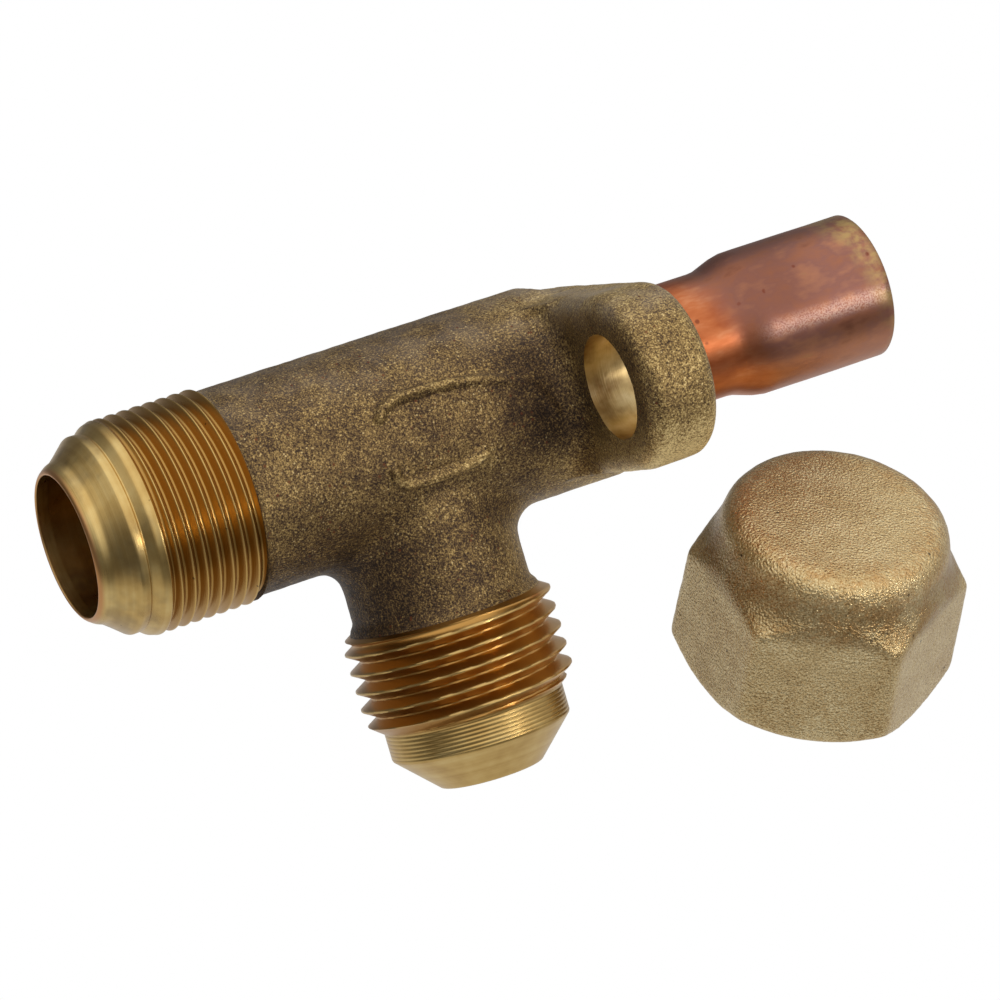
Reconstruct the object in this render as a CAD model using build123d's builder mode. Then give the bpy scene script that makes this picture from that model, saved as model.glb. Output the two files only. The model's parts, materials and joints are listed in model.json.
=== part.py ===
"""Refrigerant service valve for a 3/8 in liquid line.

A forged brass body has, along X, a turned nose with the cap thread, a barrel, a
two-eared mounting flange and a brazed copper stub. A 45 degree flare branch hangs
down along -Z. A spindle turned with a hexagon key shuts the way to the copper stub.
The sealing cap lies beside the valve.

Frame: the origin is the centre of the flange's rear face, which is the mounting face.
X runs along the body towards the copper stub, and Z points away from the flare branch.
"""
import math
import os

from build123d import *

# ------------------------------------------------------------------ driving sizes (mm)
# forging
FLARE_SETBACK = 17.1        # flare axis in front of the mounting face
BODY_R = 7.7                # barrel
FLANGE_T = 5.5              # flange thickness
EAR_R = 6.5                 # ear radius
FLANGE_WAIST_R = 6.8        # half the flange height between the ears
TOP_FLAT_SLOPE = 30.0       # barrel's crest slopes down to the flange's top edge
HOLE_SPACING = 28.0         # between the mounting holes
HOLE_R = 3.9                # mounting holes
FLANGE_EDGE_R = 1.3         # rounding of the flange rim
FLANGE_ROOT_R = 2.0         # fillet between barrel and ears
BARREL_OVERRUN = 0.9        # barrel runs on into the flange before it slopes down
NECK_R = 6.7                # plain neck of the flare branch
NECK_FILLET_R = 2.2         # fillet between barrel and neck

# turned nose and cap thread, set back from the mouth
NOSE_REACH = 26.1           # flare axis to the mouth
LIP_R = 5.3                 # clear radius of the rolled lip
LIP_DEPTH = 1.0
RIM_R = 5.9                 # outside of the rolled rim
RIM_SETBACK = 0.5
WAIST_R = 6.6               # hollow between rim and shoulder
WAIST_SETBACK = 1.6
LAND_R = 7.4                # plain land in front of the thread
LAND_SETBACK = 2.6
LAND_LENGTH = 1.1
CAP_THREAD_R = 8.0          # M16 x 1, major radius
CAP_THREAD_SETBACK = 4.5
CAP_THREAD_LENGTH = 7.6
RELIEF_DEPTH = 0.2          # shallow groove between land and thread

# flare branch, 3/8 in SAE 45 degree flare, measured down from the body axis
FLARE_THREAD_R = 7.9375     # 5/8-18 UNF, major radius
FLARE_THREAD_START = 13.0
FLARE_THREAD_LENGTH = 7.5
FLARE_COLLAR_R = 7.1        # edge of the forging above the thread
FLARE_COLLAR_LENGTH = 0.3
FLARE_LAND_R = 6.75         # plain land under the thread
FLARE_LAND_LENGTH = 2.1
FLARE_TIP_R = 3.85
FLARE_CONE_ANGLE = 45.0     # seat cone, half angle
FLARE_BORE_R = 3.5

# passages along the body axis
SPINDLE_BORE_R = 5.95       # threaded bore for the spindle head
GLAND_BORE_R = 4.4          # gland bore and valve chamber
GLAND_REACH = 11.8          # gland bore starts this far before the flare axis
CHAMBER_REACH = 5.2         # chamber ends this far behind the flare axis
SEAT_BORE_R = 3.1
SEAT_ANGLE = 45.0           # seat cone, half angle
SOCKET_SHOULDER = 8.0       # from the mounting face to the shoulder that stops the tube

# spindle
SPINDLE_CLEARANCE = 0.05    # radial, in both bores
SPINDLE_PITCH = 1.0         # travel per turn
SPINDLE_TURNS = 5.5         # shut to fully open
SPINDLE_STOP_GAP = 0.1      # left under the rolled lip when fully open
HEAD_GAP = 0.1              # in front of the head when shut
KEY_AF = 5.0                # hexagon key
KEY_DEPTH = 4.6
PLUNGER_REACH = 3.9         # plunger ends this far before the flare axis
STEM_WAIST_R = 2.4          # slim part across the flare bore
SEAT_DISC_R = 3.9           # back edge of the closing cone
SEAT_DISC_LENGTH = 1.1
SEAT_TIP_R = 1.9
SEAT_GAP = 0.02
RING_CORD_R = 0.9           # O-ring section
RING_FIT = 0.02             # drawn free of bore and groove
RING_SETBACK = 1.1          # ring centre behind the plunger's end
GROOVE_PLAY = 0.1           # each side of the ring

# copper stub
TUBE_R = 4.76               # 3/8 in tube
TUBE_WALL = 0.8
BRAZE_GAP = 0.05            # radial, tube in the body
SWAGE_START = 9.0           # from the mounting face
SWAGE_LENGTH = 3.0
SWAGE_FIT = 0.05            # radial, the next tube in the swaged socket
SWAGE_WALL = 0.69
SWAGE_BEND_R = 3.0
TUBE_LENGTH = 22.0          # mounting face to open end
BRAZE_LEG = 1.1             # braze fillet on the mounting face

# sealing cap, lying beside the valve
CAP_AF = 19.0
CAP_HEIGHT = 14.6
CAP_CORNER_R = 1.0
CAP_DRAFT = 1.0             # forging draft of the flats, degrees
CAP_MOUTH_R = 9.2           # ring that the cap stands on
CAP_MOUTH_ANGLE = 40.0      # chamfer that cuts back the mouth's corners
CAP_SHOULDER = 8.9          # height of the hexagon's corners
CAP_SHOULDER_ANGLE = 35.0
CAP_DOME_R = 8.3             # crown, at its top
CAP_CROWN_FOOT = 9.1         # crown, where it rises from the shoulder
CAP_DOME_EDGE_R = 1.9
CAP_DOME_FOOT_R = 2.4
CAP_THREAD_FIT = 0.1        # radial, over the body's thread
CAP_THREAD_DEPTH = 9.0
CAP_WELL_R = 6.9            # turned well above the thread
CAP_WELL_DEPTH = 12.2
CAP_PLACE = (12.0, 5.3, -26.5)      # centre of the mouth
CAP_HEADING = -80.3         # direction in which the crown leans
CAP_LEAN = 40.3
CAP_TURN = 52.2             # about the cap's own axis

# ------------------------------------------------------------------ derived places
FLARE_X = -FLARE_SETBACK
FLANGE_FRONT = -FLANGE_T
NOSE_X = FLARE_X - NOSE_REACH
LAND_X = NOSE_X + LAND_SETBACK
CAP_THREAD_X = NOSE_X + CAP_THREAD_SETBACK
CAP_THREAD_END = CAP_THREAD_X + CAP_THREAD_LENGTH
RELIEF_R = LAND_R - RELIEF_DEPTH
BARREL_END = FLANGE_FRONT + BARREL_OVERRUN
TOP_FLAT_X = BARREL_END + (BODY_R - FLANGE_WAIST_R) / math.tan(math.radians(TOP_FLAT_SLOPE))

FLARE_THREAD_END = FLARE_THREAD_START + FLARE_THREAD_LENGTH
FLARE_CONE_START = FLARE_THREAD_END + FLARE_LAND_LENGTH
FLARE_TIP = FLARE_CONE_START + (FLARE_LAND_R - FLARE_TIP_R) / math.tan(math.radians(FLARE_CONE_ANGLE))

GLAND_START = FLARE_X - GLAND_REACH
CHAMBER_END = FLARE_X + CHAMBER_REACH
SEAT_SLOPE = 1 / math.tan(math.radians(SEAT_ANGLE))
SEAT_END = CHAMBER_END + (GLAND_BORE_R - SEAT_BORE_R) * SEAT_SLOPE
SOCKET_R = TUBE_R + BRAZE_GAP
SWAGE_BORE_R = TUBE_R + SWAGE_FIT
SWAGE_R = SWAGE_BORE_R + SWAGE_WALL

SPINDLE_TRAVEL = SPINDLE_PITCH * SPINDLE_TURNS
HEAD_REAR = NOSE_X + LIP_DEPTH + SPINDLE_STOP_GAP + SPINDLE_TRAVEL
HEAD_FRONT = GLAND_START - HEAD_GAP
HEAD_R = SPINDLE_BORE_R - SPINDLE_CLEARANCE
PLUNGER_R = GLAND_BORE_R - SPINDLE_CLEARANCE
PLUNGER_END = FLARE_X - PLUNGER_REACH
RING_X = PLUNGER_END - RING_SETBACK
RING_R = GLAND_BORE_R - RING_FIT - RING_CORD_R
GROOVE_R = RING_R - RING_CORD_R - RING_FIT
GROOVE_HALF = RING_CORD_R + GROOVE_PLAY


def seat_x(radius):
    """Where the closing cone has this radius, a hair clear of the seat."""
    return CHAMBER_END + (GLAND_BORE_R - radius) * SEAT_SLOPE - SEAT_GAP


# ------------------------------------------------------------------ valve body
with BuildPart() as valve_body:
    # nose, cap thread and barrel: one turned and forged profile about X
    with BuildSketch(Plane.XZ):
        with BuildLine():
            Polyline(
                (NOSE_X, 0),
                (NOSE_X, LIP_R + 0.15),
                (NOSE_X + RIM_SETBACK, RIM_R),
                (NOSE_X + WAIST_SETBACK, WAIST_R),
                (LAND_X, LAND_R),
                (LAND_X + LAND_LENGTH, LAND_R),
                (LAND_X + LAND_LENGTH + RELIEF_DEPTH, RELIEF_R),
                (CAP_THREAD_X + RELIEF_R - CAP_THREAD_R, RELIEF_R),
                (CAP_THREAD_X, CAP_THREAD_R),
                (CAP_THREAD_END, CAP_THREAD_R),
                (CAP_THREAD_END, BODY_R),
                (0, BODY_R),
                (0, 0),
                close=True,
            )
        make_face()
        fillet(vertices().sort_by(Axis.X)[-2:].sort_by(lambda v: abs(v.Y) + abs(v.Z))[-1], FLANGE_EDGE_R)
    revolve(axis=Axis.X)
    # the crest slopes down to the flange's straight top edge
    with BuildSketch(Plane.XZ):
        with BuildLine():
            Polyline(
                (BARREL_END, BODY_R),
                (TOP_FLAT_X, FLANGE_WAIST_R),
                (-FLANGE_EDGE_R, FLANGE_WAIST_R),
                (0, FLANGE_WAIST_R - FLANGE_EDGE_R),
                (FLANGE_T, FLANGE_WAIST_R - FLANGE_EDGE_R),
                (FLANGE_T, 2 * BODY_R),
                (BARREL_END, 2 * BODY_R),
                close=True,
            )
        make_face()
    extrude(amount=BODY_R, both=True, mode=Mode.SUBTRACT)

    # flare branch: neck, thread, land and seat cone, one profile about its own axis
    with BuildSketch(Plane.XZ.offset(0)):
        with BuildLine():
            Polyline(
                (FLARE_X, 0),
                (FLARE_X + NECK_R, 0),
                (FLARE_X + NECK_R, FLARE_COLLAR_R - NECK_R + FLARE_COLLAR_LENGTH - FLARE_THREAD_START),
                (FLARE_X + FLARE_COLLAR_R, FLARE_COLLAR_LENGTH - FLARE_THREAD_START),
                (FLARE_X + FLARE_COLLAR_R, -FLARE_THREAD_START),
                (FLARE_X + FLARE_THREAD_R, FLARE_COLLAR_R - FLARE_THREAD_R - FLARE_THREAD_START),
                (FLARE_X + FLARE_THREAD_R, (FLARE_THREAD_R - FLARE_LAND_R) / 2 - FLARE_THREAD_END),
                (FLARE_X + FLARE_LAND_R, -FLARE_THREAD_END),
                (FLARE_X + FLARE_LAND_R, -FLARE_CONE_START),
                (FLARE_X + FLARE_TIP_R, -FLARE_TIP),
                (FLARE_X, -FLARE_TIP),
                close=True,
            )
        make_face()
    revolve(axis=Axis((FLARE_X, 0, 0), (0, 0, 1)))
    crotch = valve_body.edges().filter_by(
        lambda e: e.geom_type != GeomType.CIRCLE and abs((e @ 0.5).X - FLARE_X) < BODY_R + 1
        and (e @ 0.5).Z > -BODY_R - 0.1)
    fillet(crotch, NECK_FILLET_R)

    # fillet of the ears on the barrel: a flared collar, kept to the ears' height
    with BuildPart(mode=Mode.PRIVATE) as ear_roots:
        with BuildSketch(Plane.XZ):
            with BuildLine():
                root_line = Line((FLANGE_FRONT - FLANGE_ROOT_R, BODY_R), (FLANGE_FRONT - FLANGE_ROOT_R, 0))
                RadiusArc(root_line @ 0, (FLANGE_FRONT, BODY_R + FLANGE_ROOT_R), -FLANGE_ROOT_R)
                Polyline(
                    (FLANGE_FRONT, BODY_R + FLANGE_ROOT_R),
                    (FLANGE_FRONT + FLANGE_EDGE_R, BODY_R + FLANGE_ROOT_R),
                    (FLANGE_FRONT + FLANGE_EDGE_R, 0),
                    root_line @ 1,
                )
            make_face()
        revolve(axis=Axis.X)
        with Locations((FLANGE_FRONT, 0, 0)):
            Box(4 * FLANGE_ROOT_R, 4 * BODY_R, 2 * EAR_R, mode=Mode.INTERSECT)
    add(ear_roots.part)

    # two-eared flange, rounded all over
    with BuildPart(mode=Mode.PRIVATE) as flange:
        with BuildSketch(Plane.YZ.offset(FLANGE_FRONT)):
            with GridLocations(HOLE_SPACING, 0, 2, 1):
                Circle(EAR_R)
            Circle(FLANGE_WAIST_R)
            make_hull()
        extrude(amount=FLANGE_T)
        fillet(flange.faces().filter_by(Plane.YZ).edges(), FLANGE_EDGE_R)
    add(flange.part)
    with Locations(Plane.YZ):
        with GridLocations(HOLE_SPACING, 0, 2, 1):
            Hole(HOLE_R)

    # passages: lip, spindle bore, gland, chamber, seat and tube socket
    with BuildSketch(Plane.XZ):
        with BuildLine():
            Polyline(
                (NOSE_X, 0),
                (NOSE_X, LIP_R),
                (NOSE_X + LIP_DEPTH, LIP_R),
                (NOSE_X + LIP_DEPTH, SPINDLE_BORE_R),
                (GLAND_START, SPINDLE_BORE_R),
                (GLAND_START, GLAND_BORE_R),
                (CHAMBER_END, GLAND_BORE_R),
                (SEAT_END, SEAT_BORE_R),
                (-SOCKET_SHOULDER, SEAT_BORE_R),
                (-SOCKET_SHOULDER, SOCKET_R),
                (0, SOCKET_R),
                (0, 0),
                close=True,
            )
        make_face()
    revolve(axis=Axis.X, mode=Mode.SUBTRACT)
    with Locations((FLARE_X, 0, 0)):
        Cylinder(FLARE_BORE_R, FLARE_TIP, align=(Align.CENTER, Align.CENTER, Align.MAX), mode=Mode.SUBTRACT)

# ------------------------------------------------------------------ spindle and its ring
with BuildPart() as valve_stem:
    with BuildSketch(Plane.XZ):
        with BuildLine():
            Polyline(
                (HEAD_REAR, 0),
                (HEAD_REAR, HEAD_R - 0.3),
                (HEAD_REAR + 0.3, HEAD_R),
                (HEAD_FRONT - 0.3, HEAD_R),
                (HEAD_FRONT, HEAD_R - 0.3),
                (HEAD_FRONT, PLUNGER_R),
                (RING_X - GROOVE_HALF, PLUNGER_R),
                (RING_X - GROOVE_HALF, GROOVE_R),
                (RING_X + GROOVE_HALF, GROOVE_R),
                (RING_X + GROOVE_HALF, PLUNGER_R),
                (PLUNGER_END, PLUNGER_R),
                (PLUNGER_END, STEM_WAIST_R),
                (seat_x(SEAT_DISC_R) - SEAT_DISC_LENGTH, STEM_WAIST_R),
                (seat_x(SEAT_DISC_R) - SEAT_DISC_LENGTH, SEAT_DISC_R),
                (seat_x(SEAT_DISC_R), SEAT_DISC_R),
                (seat_x(SEAT_TIP_R), SEAT_TIP_R),
                (seat_x(SEAT_TIP_R), 0),
                close=True,
            )
        make_face()
    revolve(axis=Axis.X)
    with BuildSketch(Plane.YZ.offset(HEAD_REAR)):
        RegularPolygon(KEY_AF / 2, 6, major_radius=False)
    extrude(amount=KEY_DEPTH, mode=Mode.SUBTRACT)

with BuildPart() as stem_o_ring:
    with BuildSketch(Plane.XZ):
        with Locations((RING_X, RING_R)):
            Circle(RING_CORD_R)
    revolve(axis=Axis.X)

# ------------------------------------------------------------------ copper stub and braze
with BuildPart() as copper_stub:
    with BuildSketch(Plane.XZ):
        with BuildLine():
            Polyline(
                (-SOCKET_SHOULDER, TUBE_R - TUBE_WALL),
                (-SOCKET_SHOULDER, TUBE_R),
                (SWAGE_START, TUBE_R),
                (SWAGE_START + SWAGE_LENGTH, SWAGE_R),
                (TUBE_LENGTH, SWAGE_R),
                (TUBE_LENGTH, SWAGE_BORE_R),
                (SWAGE_START + SWAGE_LENGTH, SWAGE_BORE_R),
                (SWAGE_START, TUBE_R - TUBE_WALL),
                close=True,
            )
        make_face()
    revolve(axis=Axis.X)
    swage_bends = copper_stub.edges().filter_by(GeomType.CIRCLE).filter_by(
        lambda e: SWAGE_START - 0.1 < e.center().X < SWAGE_START + SWAGE_LENGTH + 0.1)
    fillet(swage_bends.filter_by(lambda e: abs(e.radius - TUBE_R) < 0.01 or abs(e.radius - SWAGE_R) < 0.01), SWAGE_BEND_R)
    fillet(copper_stub.edges().filter_by(GeomType.CIRCLE).filter_by(
        lambda e: abs(e.center().X - TUBE_LENGTH) < 0.01 and e.radius > SWAGE_BORE_R + 0.3), 0.25)

with BuildPart() as braze_ring:
    with BuildSketch(Plane.XZ):
        with BuildLine():
            foot = Line((0, TUBE_R), (0, TUBE_R + BRAZE_LEG))
            RadiusArc(foot @ 1, (BRAZE_LEG, TUBE_R), -1.6 * BRAZE_LEG)
            Line((BRAZE_LEG, TUBE_R), foot @ 0)
        make_face()
    revolve(axis=Axis.X)

# ------------------------------------------------------------------ sealing cap
with BuildPart() as cap_shape:
    with BuildSketch():
        RegularPolygon(CAP_AF / 2, 6, major_radius=False)
    extrude(amount=CAP_HEIGHT, taper=CAP_DRAFT)
    fillet(cap_shape.edges().filter_by(lambda e: e.length > CAP_HEIGHT - 0.01), CAP_CORNER_R)
    # turned outline: mouth chamfer, hexagon shoulder and domed crown
    corner = CAP_AF / math.sqrt(3) + 1
    corner_z = CAP_SHOULDER
    shoulder_z = corner_z + (corner - CAP_CROWN_FOOT) * math.tan(math.radians(CAP_SHOULDER_ANGLE))
    with BuildSketch(Plane.XZ):
        with BuildLine():
            outline = Polyline(
                (0, 0),
                (CAP_MOUTH_R, 0),
                (corner, (corner - CAP_MOUTH_R) * math.tan(math.radians(CAP_MOUTH_ANGLE))),
                (corner, corner_z),
                (CAP_CROWN_FOOT, shoulder_z),
                (CAP_DOME_R, CAP_HEIGHT),
                (0, CAP_HEIGHT),
                close=True,
            )
        make_face()
        fillet(vertices().filter_by(lambda v: abs(v.X - CAP_DOME_R) < 0.01 and v.Y > CAP_HEIGHT - 0.01
                                    or abs(v.X - CAP_DOME_R) < 0.01 and v.Z > CAP_HEIGHT - 0.01), CAP_DOME_EDGE_R)
        fillet(vertices().filter_by(lambda v: abs(v.X - CAP_CROWN_FOOT) < 0.01), CAP_DOME_FOOT_R)
    revolve(axis=Axis.Z, mode=Mode.INTERSECT)
    # thread bore and well
    with Locations((0, 0, 0)):
        Cylinder(CAP_THREAD_R + CAP_THREAD_FIT, CAP_THREAD_DEPTH,
                 align=(Align.CENTER, Align.CENTER, Align.MIN), mode=Mode.SUBTRACT)
    with Locations((0, 0, CAP_THREAD_DEPTH)):
        Cone(CAP_WELL_R, CAP_WELL_R - 1.2, CAP_WELL_DEPTH - CAP_THREAD_DEPTH,
             align=(Align.CENTER, Align.CENTER, Align.MIN), mode=Mode.SUBTRACT)

with BuildPart() as sealing_cap:
    with Locations(Location(CAP_PLACE) * Rot(0, 0, CAP_HEADING) * Rot(0, CAP_LEAN, 0) * Rot(0, 0, CAP_TURN)):
        add(cap_shape.part)

# ------------------------------------------------------------------ write
os.makedirs("parts", exist_ok=True)
for node, name in (
    (valve_body, "valve_body"), (valve_stem, "valve_stem"), (stem_o_ring, "stem_o_ring"),
    (copper_stub, "copper_stub"), (braze_ring, "braze_ring"), (sealing_cap, "sealing_cap"),
):
    node.part.label = name
    export_step(node.part, f"parts/{name}.step")
    print(name, round(node.part.volume, 1), "mm3")
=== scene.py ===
# %% [markdown]
# Refrigerant service valve, with its sealing cap lying beside it.
# The valve is a forged brass body with two turned and threaded ends, a copper stub brazed into
# its flange and a spindle down its bore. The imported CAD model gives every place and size.
# This lesson dresses it: grit and dents on the forging, real thread helices, turning marks,
# heat colours on the copper, and a blasted finish on the cap.

import json
import math

import bmesh
import bpy
from mathutils import Matrix, Vector, noise


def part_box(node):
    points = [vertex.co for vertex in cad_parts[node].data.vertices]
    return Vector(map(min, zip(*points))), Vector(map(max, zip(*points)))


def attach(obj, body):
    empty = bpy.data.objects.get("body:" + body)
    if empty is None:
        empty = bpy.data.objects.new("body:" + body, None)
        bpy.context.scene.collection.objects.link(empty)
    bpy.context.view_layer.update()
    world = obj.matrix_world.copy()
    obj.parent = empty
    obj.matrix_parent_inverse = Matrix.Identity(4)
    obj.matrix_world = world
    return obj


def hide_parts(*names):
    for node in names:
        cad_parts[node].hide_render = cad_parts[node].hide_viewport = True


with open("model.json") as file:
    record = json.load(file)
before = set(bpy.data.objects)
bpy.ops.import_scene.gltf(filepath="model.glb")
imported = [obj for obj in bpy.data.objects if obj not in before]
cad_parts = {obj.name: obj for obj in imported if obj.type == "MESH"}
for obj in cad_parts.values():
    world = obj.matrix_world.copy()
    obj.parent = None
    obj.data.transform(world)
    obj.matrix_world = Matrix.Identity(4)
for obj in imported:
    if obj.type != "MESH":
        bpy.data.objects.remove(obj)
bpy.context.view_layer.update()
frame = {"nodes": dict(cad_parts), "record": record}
nodes = frame["nodes"]

# %% [markdown]
# The valve is small, so everything here is thought of in millimetres and turned into Blender's
# metres at the very end. The places of the two turned ends come from the frame's own box and
# mounts. The radii below are shared: the bores are taken out of the CAD solid and drilled again
# into the dressed one, and the cap's thread has a mate inside the cap.

# %% Lengths in millimetres
MM = 0.001
mounts = {m["name"]: m for m in frame["record"]["mounts"]}


def mount_mm(name):
    """A mount's place in millimetres, and its axis."""
    return Vector(mounts[name]["pos_m"]) / MM, Vector(mounts[name]["axis"]).normalized()


NOSE_X = (Vector(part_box("valve_body")[0]) / MM).x
cap_thread_mid, _ = mount_mm("cap_thread")
CAP_THREAD_LENGTH = mounts["cap_thread"]["dims"]["length_mm"]
CAP_THREAD_START = cap_thread_mid.x - CAP_THREAD_LENGTH / 2
CAP_THREAD_END = cap_thread_mid.x + CAP_THREAD_LENGTH / 2
CAP_THREAD_R = 8.0
CAP_THREAD_PITCH = 1.0
FLARE_X = mount_mm("flare_port")[0].x
HEAD_BORE_R = 5.95
GLAND_R = 4.4
PASSAGE_R = 3.1
STUB_SOCKET_R = 4.81
STUB_SOCKET_X = -8.0
PORT_R = 3.5
EAR_HOLE_R = 3.9
EAR_HOLE_Y = 14.0
TUBE_R = 4.76
print("nose at", round(NOSE_X, 2), "and flare axis at", round(FLARE_X, 2))
print("cap thread", round(CAP_THREAD_START, 2), "to", round(CAP_THREAD_END, 2))

# %% [markdown]
# The camera looks down a little and stands to the left, with its horizon tipped, so that the
# barrel climbs to the right. A long lens keeps the view nearly parallel, as in studio pictures
# of small fittings.

# %% Camera
CAMERA_PLACE = (-0.15604, -0.37249, 0.03643)
HEADING, DIP, ROLL = 21.34, 6.16, -16.28
camera_data = bpy.data.cameras.new("studio_camera")
camera_data.lens = 198.0
camera_data.sensor_width = 36.0
camera_data.clip_start = 0.01
camera_data.clip_end = 20.0
camera = bpy.data.objects.new("studio_camera", camera_data)
bpy.context.collection.objects.link(camera)
turn = (
    Matrix.Rotation(math.radians(-HEADING), 4, "Z")
    @ Matrix.Rotation(math.radians(90 - DIP), 4, "X")
    @ Matrix.Rotation(math.radians(ROLL), 4, "Z")
)
camera.matrix_world = Matrix.Translation(CAMERA_PLACE) @ turn
bpy.context.scene.camera = camera
print("camera at", [round(v, 4) for v in camera.matrix_world.translation])

# %% [markdown]
# Shader maths is easier to read as ordinary maths. A Wire holds one output socket. Adding,
# subtracting or multiplying wires adds the Math nodes, also with a plain number on the left,
# and one method makes every other kind of node.


# %% Wires for shader maths
class Wire:
    """An output socket that can be added, subtracted and multiplied like a number."""

    def __init__(self, socket):
        self.socket = socket

    @staticmethod
    def node(tree, kind, settings=(), sockets=(), out=0):
        made = tree.nodes.new("ShaderNode" + kind)
        for name, value in dict(settings).items():
            if name == "stops":
                ramp = made.color_ramp
                while len(ramp.elements) < len(value):
                    ramp.elements.new(0.5)
                for element, (place, colour) in zip(ramp.elements, value):
                    element.position = place
                    element.color = (*colour, 1.0)
            else:
                setattr(made, name, value)
        for key, value in dict(sockets).items():
            if isinstance(value, Wire):
                tree.links.new(value.socket, made.inputs[key])
            else:
                made.inputs[key].default_value = value
        return Wire(made.outputs[out])

    def maths(self, operation, *others, clamp=False):
        values = dict(enumerate((self,) + others))
        settings = {"operation": operation, "use_clamp": clamp}
        return Wire.node(self.socket.id_data, "Math", settings, values)

    def __add__(self, other):
        return self.maths("ADD", other)

    __radd__ = __add__

    def __mul__(self, other):
        return self.maths("MULTIPLY", other)

    __rmul__ = __mul__

    def __sub__(self, other):
        return self.maths("SUBTRACT", other)

    def __rsub__(self, other):
        return Wire.node(self.socket.id_data, "Math", {"operation": "SUBTRACT"}, {0: other, 1: self})

    def rise(self, start, end):
        """0 up to start, 1 from end, smooth in between. With start above end it falls."""
        settings = {"interpolation_type": "SMOOTHSTEP"}
        sockets = {"Value": self, "From Min": start, "From Max": end}
        if start > end:
            sockets = {"Value": self, "From Min": end, "From Max": start, "To Min": 1.0, "To Max": 0.0}
        return Wire.node(self.socket.id_data, "MapRange", settings, sockets)

    def bump(self, lo, mid, hi, end):
        """1 between mid and hi, fading to 0 at lo and end."""
        return self.rise(lo, mid) * self.rise(end, hi)


def from_axis(a, b):
    """Distance from an axis, where a and b are the places across it."""
    return (a * a + b * b).maths("POWER", 0.5)


def rgb(red, green, blue):
    """A colour written as 0 to 255 display values, as Blender's linear colour."""
    shares = (red / 255, green / 255, blue / 255)
    return tuple(v / 12.92 if v <= 0.04045 else ((v + 0.055) / 1.055) ** 2.4 for v in shares)


print("wires ready, mid grey is", round(rgb(128, 128, 128)[0], 3))

# %% [markdown]
# Every finish needs the same few things: noise of a given size in millimetres, round cells for
# specks and pits, a blend of two colours, a colour ramp and a bump. A Finish holds a material
# while it is being built. Its place is the Object coordinate in millimetres, so a pattern stays
# on its piece when the piece moves.


# %% Helpers that every finish uses
class Finish:
    """A material being built: its node tree, its shader, and the place on the piece."""

    def __init__(self, name, **constants):
        self.material = bpy.data.materials.new(name)
        self.material.use_nodes = True
        self.tree = self.material.node_tree
        self.shader = self.tree.nodes["Principled BSDF"]
        for key, value in constants.items():
            self.shader.inputs[key.replace("_", " ")].default_value = value
        object_place = Wire.node(self.tree, "TexCoord", out="Object")
        self.place = self.node("VectorMath", {"operation": "SCALE"}, {0: object_place, "Scale": 1 / MM})
        self.split(self.place)

    def node(self, kind, settings=(), sockets=(), out=0):
        return Wire.node(self.tree, kind, settings, sockets, out)

    def split(self, place):
        self.x, self.y, self.z = (self.node("SeparateXYZ", (), {0: place}, i) for i in range(3))
        return self.x, self.y, self.z

    def join(self, x, y, z):
        return self.node("CombineXYZ", (), {0: x, 1: y, 2: z})

    def cloud(self, size, detail=2.0, rough=0.5, at=None, shift=0.0):
        """Noise whose blobs are about this many millimetres across."""
        at = at or self.place
        if shift:
            step = (shift, shift * 0.7, -shift)
            at = self.node("VectorMath", {"operation": "ADD"}, {0: at, 1: step})
        sockets = {"Vector": at, "Scale": 1.0 / size, "Detail": detail, "Roughness": rough}
        return self.node("TexNoise", (), sockets)

    def cells(self, size, at=None):
        """Distance to the nearest of many scattered points, about this many millimetres apart."""
        return self.node("TexVoronoi", {"feature": "F1"}, {"Vector": at or self.place, "Scale": 1.0 / size})

    def blend(self, amount, first, second):
        """Mix two colours. The Mix node's colour sockets are inputs 6 and 7 and output 2."""
        first = first if isinstance(first, Wire) else (*first, 1.0)
        second = second if isinstance(second, Wire) else (*second, 1.0)
        return self.node("Mix", {"data_type": "RGBA"}, {0: amount, 6: first, 7: second}, 2)

    def ramp(self, value, *stops):
        return self.node("ValToRGB", {"stops": stops}, {0: value})

    def relief(self, height, distance, strength=1.0, under=None):
        """A bump as high as distance in millimetres, on top of the bump given as under."""
        sockets = {"Height": height, "Distance": distance * MM, "Strength": strength}
        if under is not None:
            sockets["Normal"] = under
        return self.node("Bump", (), sockets)

    def wear(self, **sockets):
        """Link the wires to the shader and return the finished material."""
        for key, wire in sockets.items():
            self.tree.links.new(wire.socket, self.shader.inputs[key.replace("_", " ")])
        print(self.material.name, "has", len(self.tree.nodes), "nodes")
        return self.material


print("finish helpers ready")

# %% [markdown]
# The forging. On the real valve a hot brass slug is stamped between dies and then shot-blasted,
# which leaves a mottled skin and a fine grit everywhere. First come the masks that follow the
# form: painted shade in the hollow between barrel and ear, under the barrel and on the left of
# the flare's neck, and painted light on the ear, the flange, the flange's top and foot and the
# right of the neck. The raised die mark is paler too.

# %% Forged skin: painted shade and painted light
skin = Finish("forged_skin", Metallic=0.75)
speck = skin.cloud(0.11, 1.0, 0.5) * 0.55 + skin.cloud(0.2, 2.0, 0.6, shift=5.1) * 0.45
mottle = skin.cloud(1.6, 3.0, 0.6)
patch = skin.cloud(5.0, 2.0, 0.5, shift=7.3)
# Painted shade: darker in the hollow between barrel and ear, under the barrel and left of the neck.
hollow = skin.x.bump(-13.0, -9.0, -7.2, -5.2) * skin.y.rise(-3.0, -7.5) * skin.z.bump(-5.0, -2.0, 3.0, 6.0)
underside = skin.z.bump(-8.5, -7.5, -6.5, -3.0)
neck_left = skin.z.rise(-6.0, -8.5) * skin.x.rise(FLARE_X + 2.0, FLARE_X - 5.5)
# The dark mask is random mottle and patches plus the painted shade above.
dark = mottle * 0.8 + patch * 0.6 - 0.45 + hollow * 0.38 + underside * 0.1 + neck_left * 0.35
dark = dark.maths("MINIMUM", 1.0)

# Painted light: paler on the lower ear, the flange, the flange's top and foot and the right of the neck.
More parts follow.
